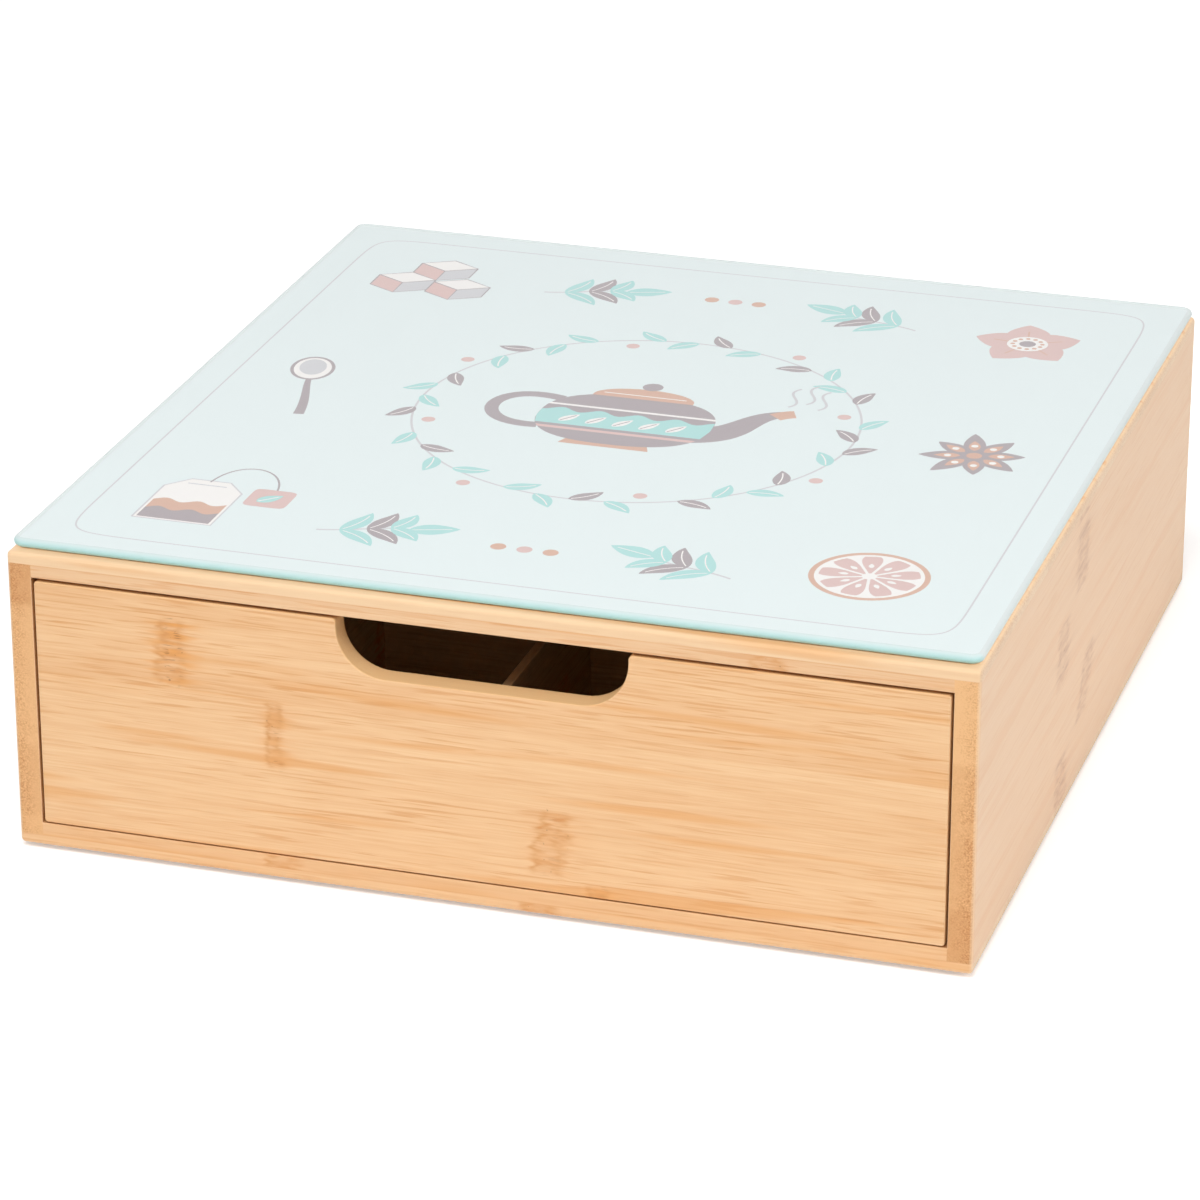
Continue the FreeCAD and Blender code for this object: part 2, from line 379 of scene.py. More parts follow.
middle = bell(steps, ragged, *CRACK_MIDDLE)
cracks = steps.ramp(solid_noise(steps, board, CRACKS, lane, 1.0), 0.60, 0.68)
cracks = steps.math("MULTIPLY", cracks, steps.math("MULTIPLY", middle, takes["Burnt"]))
licks = steps.ramp(solid_noise(steps, board, LICKS, lane, 1.0), 0.43, 0.60)
reach_out = bell(steps, steps.math("ADD", reach, wander), *LICK_REACH)
burn = steps.math("MULTIPLY", steps.math("MULTIPLY", licks, reach_out), takes["Burnt"])
pinholes = steps.ramp(solid_noise(steps, board, PINHOLES, lane, 0.0), 0.79, 0.85)
specks = steps.math("MAXIMUM", steps.math("MULTIPLY", pinholes, body), cracks)
steps.feed(gives["Orange"], burn)
steps.feed(gives["Specks"], specks)

# %% [markdown]
# Fibres
# The fibres run the whole length of a strip, so their pattern is noise that is stretched
# some twenty to forty times along the board and left alone in the other two directions.
# Four sizes of it add up to a tone: broad streams and bands, fine fibres, and short dark
# dashes, which crowd together in places. A few bands also turn orange. Near a node the
# fibres swerve.

# %% Group: fibres
FIBRES = (32.0, 1250.0, 1250.0)
DASHES = (46.0, 1150.0, 1150.0)
CROWDS = (9.0, 130.0, 130.0)
BANDS = (8.0, 170.0, 170.0)
STREAMS = (2.4, 60.0, 60.0)
DRIFT = (7.0, 40.0, 40.0)
SWERVE = (110.0, 240.0, 240.0)
GLUED = (6.0, 6.0, 6.0)
MIDDLE_TONE = 0.71

steps, takes, gives = new_group(
    "fibres",
    {"Board": "v", "Lane": "f", "Joint": "f", "Halo": "f", "Contrast": "f"},
    {"Tone": "f", "Orange": "f", "Height": "f"},
)
board, lane = takes["Board"], takes["Lane"]
along, across, through = steps.split(board)
drift = swing(steps, solid_noise(steps, board, DRIFT, lane, 1.0), 3.0 * MM)
swerve = swing(steps, solid_noise(steps, board, SWERVE, lane, 1.0), 2.4 * MM)
bend = steps.math("MULTIPLY_ADD", swerve, takes["Halo"], drift)
bent = steps.join(along, steps.math("ADD", across, bend), through)
fibres = solid_noise(steps, bent, FIBRES, lane, 3.0, 0.6)
dashes = steps.ramp(solid_noise(steps, bent, DASHES, lane, 1.0), 0.53, 0.66)
crowds = steps.ramp(solid_noise(steps, bent, CROWDS, lane, 1.0), 0.40, 0.60)
bands = solid_noise(steps, bent, BANDS, lane)
streams = solid_noise(steps, bent, STREAMS, lane, 1.0)
other_lane = steps.math("ADD", lane, 1.9)
orange = steps.ramp(solid_noise(steps, bent, BANDS, other_lane, 1.0), 0.56, 0.72)
glued = steps.ramp(solid_noise(steps, bent, GLUED, lane, 0.0), 0.40, 0.60)
tone = steps.math("ADD", swing(steps, fibres, 0.85), swing(steps, bands, 0.32))
tone = steps.math("ADD", tone, swing(steps, streams, 0.36))
tone = steps.math("ADD", tone, swing(steps, steps.random(steps.math("ADD", lane, 0.5)), 0.12))
dash_depth = steps.math("MULTIPLY_ADD", crowds, -0.26, -0.14)
tone = steps.math("MULTIPLY_ADD", dashes, dash_depth, tone)
tone = steps.math("MULTIPLY_ADD", tone, takes["Contrast"], MIDDLE_TONE)
joint_depth = steps.math("MULTIPLY_ADD", glued, -0.34, -0.04)
tone = steps.math("MULTIPLY_ADD", takes["Joint"], joint_depth, tone)
steps.feed(gives["Tone"], tone)
steps.feed(gives["Orange"], steps.math("MULTIPLY", orange, 0.55))
steps.feed(gives["Height"], steps.math("MULTIPLY_ADD", dashes, -0.8, fibres))

# %% [markdown]
# Sawn ends
# Across the cut end of a strip the fibre bundles show as dots a third of a millimetre wide.
# They crowd together towards the outside of the stem and thin out towards its inside, so
# each strip's end goes from a dark, speckled side to a smooth, pale one.

# %% Group: sawn end
BUNDLES = (25.0, 1800.0, 1800.0)
PATCHES = (10.0, 260.0, 260.0)

steps, takes, gives = new_group(
    "sawn_end",
    {"Board": "v", "Lane": "f", "Depth": "f", "End Tone": "f"},
    {"Tone": "f"},
)
board, lane = takes["Board"], takes["Lane"]
uneven = swing(steps, solid_noise(steps, board, PATCHES, lane), 1.6)
crowded = steps.ramp(steps.math("ADD", takes["Depth"], uneven), 0.0, 1.0)
bundles = steps.math("SUBTRACT", solid_noise(steps, board, BUNDLES, lane, 1.0), 0.5)
contrast = steps.math("MULTIPLY_ADD", crowded, 1.7, 0.40)
tone = steps.math("MULTIPLY_ADD", bundles, contrast, takes["End Tone"])
tone = steps.math("ADD", tone, swing(steps, crowded, -0.22))
steps.feed(gives["Tone"], tone)

# %% [markdown]
# Eased edges
# Every edge of a board is broken with fine paper before it is lacquered. Each eased edge gets
# a painted highlight: a paler colour mixed in for the light that the rounding catches. No edge
# needs to be found for this: on a board whose faces are square, a point belongs to an eased
# edge where its normal leans away from all three axes.

# %% Group: eased edge
steps, takes, gives = new_group("eased_edge", {"Normal": "v"}, {"Edge": "f"})
leans = [steps.math("ABSOLUTE", part) for part in steps.split(takes["Normal"])]
squarest = steps.math("MAXIMUM", steps.math("MAXIMUM", leans[0], leans[1]), leans[2])
steps.feed(gives["Edge"], steps.math("SUBTRACT", 1.0, steps.ramp(squarest, 0.88, 0.99)))
print("groups:", [group.name for group in bpy.data.node_groups])

# %% [markdown]
# A finish for each board
# The boards share one recipe, and each gets its own material from it: which way its fibres
# run, where its strips and nodes lie and what tone it has. The coordinates are the box's
# own, in metres, so the grain stays in the wood when the drawer is pulled out. A face that
# looks along the fibres is end grain. The case's top and bottom are pressed from two plies,
# which show on their edges with a thin glue line between. The lacquer is thin and satin: the
# fibres still stand in it a few hundredths of a millimetre high.

# %% Bamboo tones
STRIP_WIDTH = 24.0 * MM
AXES = {"x": 0, "y": 1, "z": 2}
BRIGHT = {
    "Light": colour(250, 209, 161), "Dark": colour(222, 158, 97),
    "Orange": colour(233, 166, 96), "Brown": colour(220, 153, 89), "Burnt": colour(236, 166, 90),
    "End Light": colour(242, 191, 135), "End Dark": colour(200, 136, 80),
}
# The sides' tones are paler and less saturated: painted sheen, the whitish gloss that their lacquer
# shows when seen from aside.
PALE_SHEEN = {**BRIGHT, "Light": colour(242, 204, 164), "Dark": colour(231, 184, 140),
        "Orange": colour(235, 186, 140), "Brown": colour(202, 149, 108)}
# The long boards' end tones are paled like the sides: painted sheen where their sawn ends show at the
# sides.
LONG_EDGE_SHEEN = {**BRIGHT, "End Light": colour(246, 216, 182), "End Dark": colour(222, 180, 142)}
TOP_EDGE_SHEEN = {**LONG_EDGE_SHEEN, "Light": colour(249, 215, 173), "Dark": colour(224, 162, 106)}
# Darker tones for the inside: partly a darker grade of bamboo, partly painted shade for the dim inside
# of the box.
INNER_GRADE_AND_SHADE = {**BRIGHT, "Light": colour(214, 168, 118), "Dark": colour(184, 126, 76),
         "Orange": colour(196, 140, 86), "End Light": colour(204, 154, 106),
         "End Dark": colour(166, 112, 70)}
RAW = {**INNER_GRADE_AND_SHADE, "Light": colour(228, 200, 158), "Dark": colour(206, 170, 124),
       "Orange": colour(214, 174, 126)}
# Painted highlight: the pale colour laid on the eased edges for the light they catch.
EDGE_HIGHLIGHT = colour(255, 224, 186)
PINHOLE = colour(150, 86, 40)
# Painted light: lifts the lip of the finger cut-out, which lies in the shade of the case's top.
LIP_PAINTED_LIGHT = colour(247, 205, 148)


# %% Known values and placed groups
def known_value(steps, strip, chance, known):
    """A number for each strip: its known one, or else the one left to chance."""
    value = chance
    for number, told in (known or {}).items():
        own = steps.math("COMPARE", strip, float(number), 0.5)
        value = steps.math("MULTIPLY_ADD", own, steps.math("SUBTRACT", told, value), value)
    return value


def placed(steps, group, feeds):
    """One of the groups above, placed in a material with its inputs fed."""
    made = steps.node("ShaderNodeGroup", node_tree=bpy.data.node_groups[group])
    for label, value in feeds.items():
        steps.feed(made.inputs[label], value)
    return made.outputs


# %% The colour of a face
NODE_ENDS = 2.6 * MM
PINHOLE_SHARE = 0.55
GLUE_LINE = (0.05 * MM, 0.40 * MM)
GLUE_DEPTH = -0.22


def ply_tone(steps, tone, through, upper_ply, ply_line, ply_step):
    """Two plies: the upper one's tone is a step off the lower one's, with a glue line between."""
    tone = steps.math("ADD", tone, swing(steps, upper_ply, ply_step))
    off_line = steps.math("ABSOLUTE", steps.math("SUBTRACT", through, ply_line))
    glue = steps.math("SUBTRACT", 1.0, steps.ramp(off_line, *GLUE_LINE))
    return steps.math("MULTIPLY_ADD", glue, GLUE_DEPTH, tone)


def face_colour(steps, tone, inside_shade, grain, knot, off_middle, tones):
    """Fibre tones, then orange bands, and over them what the stem's nodes leave."""
    face = steps.mix(tone, tones["Dark"], tones["Light"])
    # Faces turned to the inside take the inner tones, partly as painted shade.
    face = steps.mix(inside_shade, face, steps.mix(tone, INNER_GRADE_AND_SHADE["Dark"], INNER_GRADE_AND_SHADE["Light"]))
    face = steps.mix(grain["Orange"], face, tones["Orange"])
    to_side = steps.math("ABSOLUTE", off_middle)
    fading = steps.ramp(to_side, STRIP_WIDTH / 2, STRIP_WIDTH / 2 - NODE_ENDS)
    face = steps.mix(steps.math("MULTIPLY", knot["Orange"], fading), face, tones["Burnt"])
    face = steps.mix(steps.math("MULTIPLY", knot["Brown"], fading), face, tones["Brown"])
    return steps.mix(steps.math("MULTIPLY", knot["Specks"], PINHOLE_SHARE), face, PINHOLE)


# %% The colour of a sawn end
SOFT_STEP = 1.6 * MM
END_TONE = 0.66
END_SPREAD = 0.3


def soft_stairs(steps, across, levels, shift):
    """The levels of strips 0, 1, 2 and on: at each joint one passes softly into the next."""
    height = levels[0]
    for number in range(1, len(levels)):
        joint = shift + number * STRIP_WIDTH
        risen = steps.ramp(across, joint - SOFT_STEP, joint + SOFT_STEP)
        height = steps.math("MULTIPLY_ADD", risen, levels[number] - levels[number - 1], height)
    return height


def end_colour(steps, thickness, place, lane, outer, end_tones, shift, tones):
    """Each strip's end has its own tone, and is speckled more towards the stem's outside."""
    inside, outside = thickness if outer > 0 else reversed(thickness)
    depth = steps.math("DIVIDE", steps.math("SUBTRACT", place[2], inside), outside - inside)
    if end_tones:
        end_tone = soft_stairs(steps, place[1], end_tones, shift)
    else:
        chance = steps.random(steps.math("ADD", lane, 0.3))
        end_tone = steps.math("ADD", END_TONE, swing(steps, chance, END_SPREAD))
    sawn = placed(steps, "sawn_end", {"Board": steps.join(*place), "Lane": lane,
                                      "Depth": depth, "End Tone": end_tone})
    tone = steps.math("ADD", sawn["Tone"], 0.0, clamp=True)
    return steps.mix(tone, tones["End Dark"], tones["End Light"])


# %% A board's material
GRAIN_RELIEF = 0.10 * MM
GRAIN_STRENGTH = 0.35
LACQUER_ROUGHNESS = 0.47
LACQUER_IOR = 1.5


def bamboo(node, axes, seed, tones=BRIGHT, shift=0.0, outer=1.0, places=None, slants=None,
           widths=None, burnt=None, node_width=1.0, node_lines=1.0, contrast=1.0,
           upper_contrast=1.0, ply_line=None, ply_step=0.0, end_tones=(), edge_highlight_share=0.35,
           lip_light_share=0.0, inner_shade_share=0.0):
    """A board's material. axes names the box's axes along, across and through the board."""
    material, steps, shader = new_material("bamboo_" + node)
    spot = steps.node("ShaderNodeTexCoord").outputs
    here, facing = steps.split(spot["Object"]), steps.split(spot["Normal"])
    place = [here[AXES[letter]] for letter in axes]
    facing_along, _, facing_through = [facing[AXES[letter]] for letter in axes]
    along, _, through = place
    board = steps.join(*place)

    upper_ply = 0.0 if ply_line is None else steps.math("GREATER_THAN", through, ply_line)
    strips = placed(steps, "strips", {"Board": board, "Width": STRIP_WIDTH, "Shift": shift,
                                      "Upper Ply": upper_ply, "Seed": seed})
    strip, lane, off_middle = strips["Strip"], strips["Lane"], strips["Off Middle"]
    chance = swing(steps, steps.random(steps.math("ADD", lane, 0.7)), NODE_SPACING)
    from_node = steps.math("SUBTRACT", along, known_value(steps, strip, chance, places))
    slant = known_value(steps, strip, 0.0, slants)
    from_node = steps.math("MULTIPLY_ADD", off_middle, slant, from_node)
    knot = placed(steps, "stem_node", {
        "Board": board, "Lane": lane, "From Node": from_node, "Node Lines": node_lines,
        "Node Width": known_value(steps, strip, node_width, widths),
        "Burnt": known_value(steps, strip, 0.0, burnt)})
    contrasts = steps.math("MULTIPLY_ADD", upper_ply, upper_contrast - contrast, contrast)
    grain = placed(steps, "fibres", {"Board": board, "Lane": lane, "Joint": strips["Joint"],
                                     "Halo": knot["Halo"], "Contrast": contrasts})

    tone = grain["Tone"]
    if ply_line is not None:
        tone = ply_tone(steps, tone, through, upper_ply, ply_line, ply_step)
    tone = steps.math("ADD", tone, 0.0, clamp=True)
    # Painted shade: the case's faces that turn to the inside are darkened.
    inside_shade = steps.ramp(steps.math("MULTIPLY", facing_through, outer), -0.5, -0.9)
    inside_shade = steps.math("MULTIPLY", inside_shade, inner_shade_share)
    face = face_colour(steps, tone, inside_shade, grain, knot, off_middle, tones)
    thickness = [corner[AXES[axes[2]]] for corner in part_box(node)]
    end = end_colour(steps, thickness, place, lane, outer, end_tones, shift, tones)
    end_grain = steps.ramp(steps.math("ABSOLUTE", facing_along), 0.55, 0.85)
    wood = steps.mix(end_grain, face, end)
    edge = placed(steps, "eased_edge", {"Normal": spot["Normal"]})["Edge"]
    # Painted highlight on the eased edges.
    wood = steps.mix(steps.math("MULTIPLY", edge, edge_highlight_share), wood, EDGE_HIGHLIGHT)
    # Painted light on the cut-out's lip, where the top board shades it.
    if lip_light_share:
        turned_in = steps.ramp(steps.math("ABSOLUTE", facing_through), 0.95, 0.30)
        wood = steps.mix(steps.math("MULTIPLY", turned_in, lip_light_share), wood, LIP_PAINTED_LIGHT)

    roughness = steps.math("MULTIPLY_ADD", tone, -0.10, LACQUER_ROUGHNESS)
    roughness = steps.math("MULTIPLY_ADD", end_grain, 0.12, roughness)
    bump = steps.node("ShaderNodeBump", {"Height": grain["Height"], "Distance": GRAIN_RELIEF,
                                         "Strength": GRAIN_STRENGTH})
    steps.feed(shader.inputs["Base Color"], wood)
    steps.feed(shader.inputs["Roughness"], roughness)
    steps.feed(shader.inputs["Normal"], bump.outputs["Normal"])
    set_plain(shader, {"IOR": LACQUER_IOR})
    return material


def dress(node, material):
    """Puts the material on every slot of a piece of the frame."""
    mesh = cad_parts[node].data
    mesh.materials.clear()
    mesh.materials.append(material)


# %% [markdown]
# The boards
# The strips whose nodes and tones can be made out on the real box are given by number, and
# the rest are left to chance. The plies meet where the top and the bottom lie in the sides'
# rabbets. The inner boards of the drawer and the inside of the case, where its faces turn away
# from the outside, get darker tones: partly a darker grade of bamboo, partly painted shade for
# the dim inside of the box. The sides and the long boards' ends get paler tones as painted sheen.

# %% The case's boards
case_boards = {
    "case_top": dict(
        axes="xyz", seed=11.0, tones=TOP_EDGE_SHEEN, ply_line=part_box("case_left_side")[1].z,
        ply_step=0.34, contrast=0.75, upper_contrast=0.35, edge_highlight_share=0.12,
        places={-7: 90.0 * MM, 93: -168.0 * MM}),
    "case_bottom": dict(
        axes="xyz", seed=23.0, tones=LONG_EDGE_SHEEN, ply_line=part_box("case_left_side")[0].z,
        ply_step=-0.16, contrast=0.6, upper_contrast=0.6, edge_highlight_share=0.25, outer=-1.0,
        places={93: -66.0 * MM}),
    "case_left_side": dict(
        axes="yzx", seed=31.0, tones=PALE_SHEEN, shift=-12.0 * MM, node_width=1.5, node_lines=0.3,
        contrast=0.7, outer=-1.0, end_tones=(0.78, 0.64, 0.77, 0.74, 0.34)),
    "case_right_side": dict(
        axes="yzx", seed=47.0, tones=PALE_SHEEN, shift=-1.5 * MM, node_width=1.5, node_lines=0.3,
        contrast=0.7, end_tones=(0.38, 0.56, 0.64, 0.92, 0.92),
        places={0: -41.0 * MM, 1: -7.0 * MM, 2: -43.0 * MM, 3: -18.0 * MM, 4: -18.0 * MM},
        slants={1: -0.5, 2: -0.07, 3: -0.08}),
    "case_back": dict(axes="xzy", seed=59.0),
}
for node, recipe in case_boards.items():
    dress(node, bamboo(node, inner_shade_share=1.0, **recipe))
print("boards of the case:", len(case_boards))

# %% The drawer's boards
drawer_boards = {
    "drawer_front": dict(
        axes="xzy", seed=61.0, shift=-9.5 * MM, edge_highlight_share=0.1, lip_light_share=0.8,
        places={0: 36.0 * MM, 1: 22.0 * MM, 2: -67.5 * MM, 3: -101.0 * MM, 4: 160.0 * MM},
        slants={1: -0.1, 2: 0.03, 3: -0.05}, widths={0: 0.6, 2: 0.55, 3: 0.8},
        burnt={0: 0.6, 1: 0.2, 2: 0.5, 3: 1.0}),
    "drawer_back": dict(axes="xzy", seed=73.0, tones=INNER_GRADE_AND_SHADE),
    "drawer_left_side": dict(axes="yzx", seed=83.0, tones=INNER_GRADE_AND_SHADE),
    "drawer_right_side": dict(axes="yzx", seed=97.0, tones=INNER_GRADE_AND_SHADE),
    "drawer_bottom": dict(axes="xyz", seed=101.0, tones=INNER_GRADE_AND_SHADE),
}
for number in (1, 2, 3):
    drawer_boards[f"divider_long_{number}"] = dict(axes="yzx", seed=110.0 + number, tones=RAW)
for number in (1, 2):
    drawer_boards[f"divider_cross_{number}"] = dict(axes="xzy", seed=120.0 + number, tones=RAW)
for node, recipe in drawer_boards.items():
    dress(node, bamboo(node, **recipe))
print("boards of the drawer:", len(drawer_boards))

# %% [markdown]
# Glass
# Window glass looks clear through its face and green at its edge, because light that has
# run far inside it loses its red. So the face is plain clear glass here, and only the edge
# has a colour. Light that falls on the print has to get through the sheet: shadow rays and
# soft light pass the surface straight, and only what the eye sees is bent and mirrored. The
# edge is ground round and left satin, and the eye does not see through it: the light that
# runs along inside the sheet is painted onto it as colour, pale at its upper rim and green
# at its lower one, and most of all at the front. The sheet is made anew here, over its plain
# solid, with that edge.

# %% Glass material
GLASS_IOR = 1.5


def let_light_through(material, steps, shader):
    """Lets shadow rays and soft light pass the surface straight."""
    rays = steps.node("ShaderNodeLightPath").outputs
    passes = steps.math("MAXIMUM", rays["Is Shadow Ray"], rays["Is Diffuse Ray"])
    clear = steps.node("ShaderNodeBsdfTransparent")
    feeds = {0: passes, 1: shader.outputs[0], 2: clear.outputs[0]}
    either = steps.node("ShaderNodeMixShader", feeds)
    output = material.node_tree.nodes["Material Output"]
    steps.feed(output.inputs["Surface"], either.outputs[0])


glass, steps, shader = new_material("float_glass")
set_plain(shader, {"Base Color": WHITE, "Roughness": 0.0, "IOR": GLASS_IOR,
                   "Transmission Weight": 1.0})
let_light_through(glass, steps, shader)

# %% Ground edge
GLASS_CORNER = 4.0 * MM
EDGE_PAINTED_PALE = colour(222, 229, 228)
EDGE_PAINTED_GREEN = colour(176, 224, 222)
EDGE_LIFT = 0.8 * MM
GRIND = (1500.0, 1500.0, 1500.0)
glass_low, glass_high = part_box("glass_top")
ground_edge, steps, shader = new_material("ground_edge")
spot = steps.node("ShaderNodeTexCoord").outputs["Object"]
_, edge_y, edge_z = steps.split(spot)
# Painted light: the edge's colour stands in for the light run along inside the glass, greener low down
# and at the front.
low_down = steps.ramp(edge_z, glass_high.z + EDGE_LIFT, glass_low.z + EDGE_LIFT)
corner_ends = glass_low.y + GLASS_CORNER
corner_turns = glass_low.y + GLASS_CORNER * 0.3
towards_front = steps.ramp(edge_y, corner_ends, corner_turns)
painted_green = steps.math("MULTIPLY", low_down, steps.math("MULTIPLY_ADD", towards_front, 0.92, 0.08))
steps.feed(shader.inputs["Base Color"], steps.mix(painted_green, EDGE_PAINTED_PALE, EDGE_PAINTED_GREEN))
grind = solid_noise(steps, spot, GRIND, 0.0)
steps.feed(shader.inputs["Roughness"], steps.math("MULTIPLY_ADD", grind, 0.2, 0.35))
set_plain(shader, {"IOR": GLASS_IOR})
let_light_through(ground_edge, steps, shader)


# %% Outlines and edges
def rounded_rectangle(low, high, radius, count=12):
    """Points round a rectangle whose corners are quarter circles: each corner's centre plus the
    radius times the cosine and sine of an angle that runs on from one corner to the next."""
    quarter = np.linspace(0.0, math.pi / 2, count)
    turns = quarter[None, :] + np.arange(4)[:, None] * math.pi / 2
    left, right = low.x + radius, high.x - radius
    front, back = low.y + radius, high.y - radius
    x = np.array([right, left, left, right])[:, None] + radius * np.cos(turns)
    y = np.array([back, back, front, front])[:, None] + radius * np.sin(turns)
    return np.stack([x.ravel(), y.ravel()], axis=1)


def normals(path, closed=False):
    """The unit normal at each point of a path: its direction, turned a quarter to the left."""
    if closed:
        along = np.roll(path, -1, axis=0) - np.roll(path, 1, axis=0)
    else:
        along = np.gradient(path, axis=0)
    along = along / np.linalg.norm(along, axis=1, keepdims=True)
    return np.stack([-along[:, 1], along[:, 0]], axis=1)


def edge_round(outline, thickness, count=17):
    """Rings of a half-round edge: at angle a from the top, a ring lies in by r minus r times the
    sine of a, at a height of r times the cosine of a above the middle."""
    radius = thickness / 2
    angle = np.linspace(0.0, math.pi, count)
    inward = normals(outline, closed=True)
    inset = radius * (1.0 - np.sin(angle))
    rings = outline[None, :, :] + inward[None, :, :] * inset[:, None, None]
    height = np.broadcast_to((radius * np.cos(angle))[:, None, None], (*rings.shape[:2], 1))
    return np.concatenate([rings, height], axis=2)


# %% Glass sheet
outline = rounded_rectangle(glass_low, glass_high, GLASS_CORNER)
rings = edge_round(outline, glass_high.z - glass_low.z)
rings[:, :, 2] += (glass_low.z + glass_high.z) / 2
rows, columns = rings.shape[:2]
number = np.arange(rows * columns).reshape(rows, columns)
onward = np.roll(number, -1, axis=1)
walls = np.stack([number[1:], onward[1:], onward[:-1], number[:-1]], axis=-1).reshape(-1, 4)
caps = [number[0].tolist(), number[-1][::-1].tolist()]
sheet_mesh = bpy.data.meshes.new("glass_sheet")
sheet_mesh.from_pydata(rings.reshape(-1, 3), [], walls.tolist() + caps)
sheet_mesh.materials.append(glass)
sheet_mesh.materials.append(ground_edge)
for polygon in sheet_mesh.polygons:
    on_edge = polygon.index < len(walls)
    polygon.use_smooth = on_edge
    polygon.material_index = 1 if on_edge else 0
glass_sheet = bpy.data.objects.new("glass_sheet", sheet_mesh)
bpy.context.scene.collection.objects.link(glass_sheet)
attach(glass_sheet, "case")
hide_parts("glass_top")
print("glass sheet points:", len(sheet_mesh.vertices))

# %% [markdown]
# Clear adhesive and rubber feet
# The glass is held by five dabs of clear silicone, and the box stands on four thin rubber
# discs. Both are small and mostly hidden. Silicone is soft and milky, and rubber has a fine
# moulded grain.


# %% Silicone and rubber
def grained(name, base, roughness, scale, relief, mottle=0.2, plain=None):
    """A plain material: lumps that darken the colour by up to mottle and lift the surface."""
    material, steps, shader = new_material(name)
    place = steps.node("ShaderNodeTexCoord").outputs["Object"]
    feeds = {0: place, 1: (scale, scale, scale)}
    stretched = steps.node("ShaderNodeVectorMath", feeds, operation="MULTIPLY")
    lumps = steps.noise(stretched.outputs[0], 3.0)
    darker = (*np.multiply(base[:3], 1.0 - mottle), 1.0)
    steps.feed(shader.inputs["Base Color"], steps.mix(lumps, darker, base))
    roughened = steps.math("MULTIPLY_ADD", lumps, 0.2, roughness - 0.1)
    steps.feed(shader.inputs["Roughness"], roughened)
    bump = steps.node("ShaderNodeBump", {"Height": lumps, "Distance": relief})
    steps.feed(shader.inputs["Normal"], bump.outputs["Normal"])
    set_plain(shader, plain or {})
    return material


rubber = grained("foot_rubber", colour(40, 40, 42), 0.7, 2500.0, 0.05 * MM)
silicone = grained("clear_silicone", colour(225, 225, 220), 0.25, 600.0, 0.02 * MM,
                   plain={"IOR": 1.41})
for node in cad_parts:
    if node.startswith("foot_"):
        dress(node, rubber)
    if node.startswith("glass_pad_"):
        dress(node, silicone)

# %% [markdown]
# The print
# The picture is screen printed on the underside of the glass, in flat inks, and a mint
# ground comes last and covers them all. Each ink is one piece here, cut from flat patches: a
# patch is a grid of points, worked out whole by a formula. Where two patches overlap, the
# one that is laid later lies a few thousandths of a millimetre nearer to the eye, so that it
# covers the other. The ink wets the glass, with no air between, so all of it lies just
# inside the glass's lower face.

# %% Patches of ink
print_low, print_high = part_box("glass_print")
PRINT_CENTRE = np.array([print_low.x + print_high.x, print_low.y + print_high.y]) / 2 / MM
HALF_WIDTH = (print_high.x - print_low.x) / 2 / MM
HALF_DEPTH = (print_high.y - print_low.y) / 2 / MM
GROUND_INSET = (glass_high.z - glass_low.z) / 2
INKS = {
    "ground": colour(229, 240, 240),
    "cream": colour(246, 243, 240),
    "blush": colour(220, 188, 183),
    "clay": colour(214, 172, 150),
    "teal": colour(172, 221, 218),
    "umber": colour(168, 157, 161),
    "slate": colour(208, 208, 211),
}


class Picture:
    """The patches of each ink, in millimetres, each with the number of its layer."""

    def __init__(self, inks):
        self.points = {ink: [] for ink in inks}
        self.quads = {ink: [] for ink in inks}
        self.layer = 0

    def lay(self, ink, patch, closed=False):
        """Adds a patch, rows x columns x 2, on a new layer. closed joins the last row to the first."""
        start = sum(len(block) for block in self.points[ink])
        rows, columns = patch.shape[:2]
        number = start + np.arange(rows * columns).reshape(rows, columns)
        if closed:
            number = np.vstack([number, number[:1]])
        corners = [number[:-1, :-1], number[:-1, 1:], number[1:, 1:], number[1:, :-1]]
        quads = np.stack(corners, axis=-1)
        flat = patch.reshape(-1, 2)
        layers = np.full(len(flat), float(self.layer))
        self.points[ink].append(np.column_stack([flat, layers]))
        self.quads[ink].append(quads.reshape(-1, 4))
        self.layer += 1

    def place(self, motif, x, y, turn=0.0, size=1.0):
        """Runs a motif, then turns, sizes and moves all that it added, and frees its layers."""
        ground_layer = self.layer
        before = {ink: len(blocks) for ink, blocks in self.points.items()}
        motif()
        cosine, sine = math.cos(math.radians(turn)), math.sin(math.radians(turn))
        rotation = np.array([[cosine, sine], [-sine, cosine]])
        for ink, blocks in self.points.items():
            for block in blocks[before[ink]:]:
                block[:, :2] = block[:, :2] @ rotation * size + np.array([x, y])
        self.layer = ground_layer


picture = Picture(INKS)
lay, place = picture.lay, picture.place
print("inks:", len(INKS))


# %% Curves and fills
def bezier(first, second, third, fourth, count=24):
    """Points of the cubic curve from first to fourth that leaves and arrives along its handles."""
    t = np.linspace(0.0, 1.0, count)[:, None]
    ends = (1 - t) ** 3 * np.array(first) + t ** 3 * np.array(fourth)
    return ends + 3 * t * (1 - t) ** 2 * np.array(second) + 3 * t ** 2 * (1 - t) * np.array(third)


def stroke(path, width, closed=False):
    """A path widened to both sides; width is one number or one for each point."""
    side = normals(path, closed) * np.broadcast_to(np.asarray(width, float), len(path))[:, None] / 2
    return np.stack([path - side, path + side], axis=1)


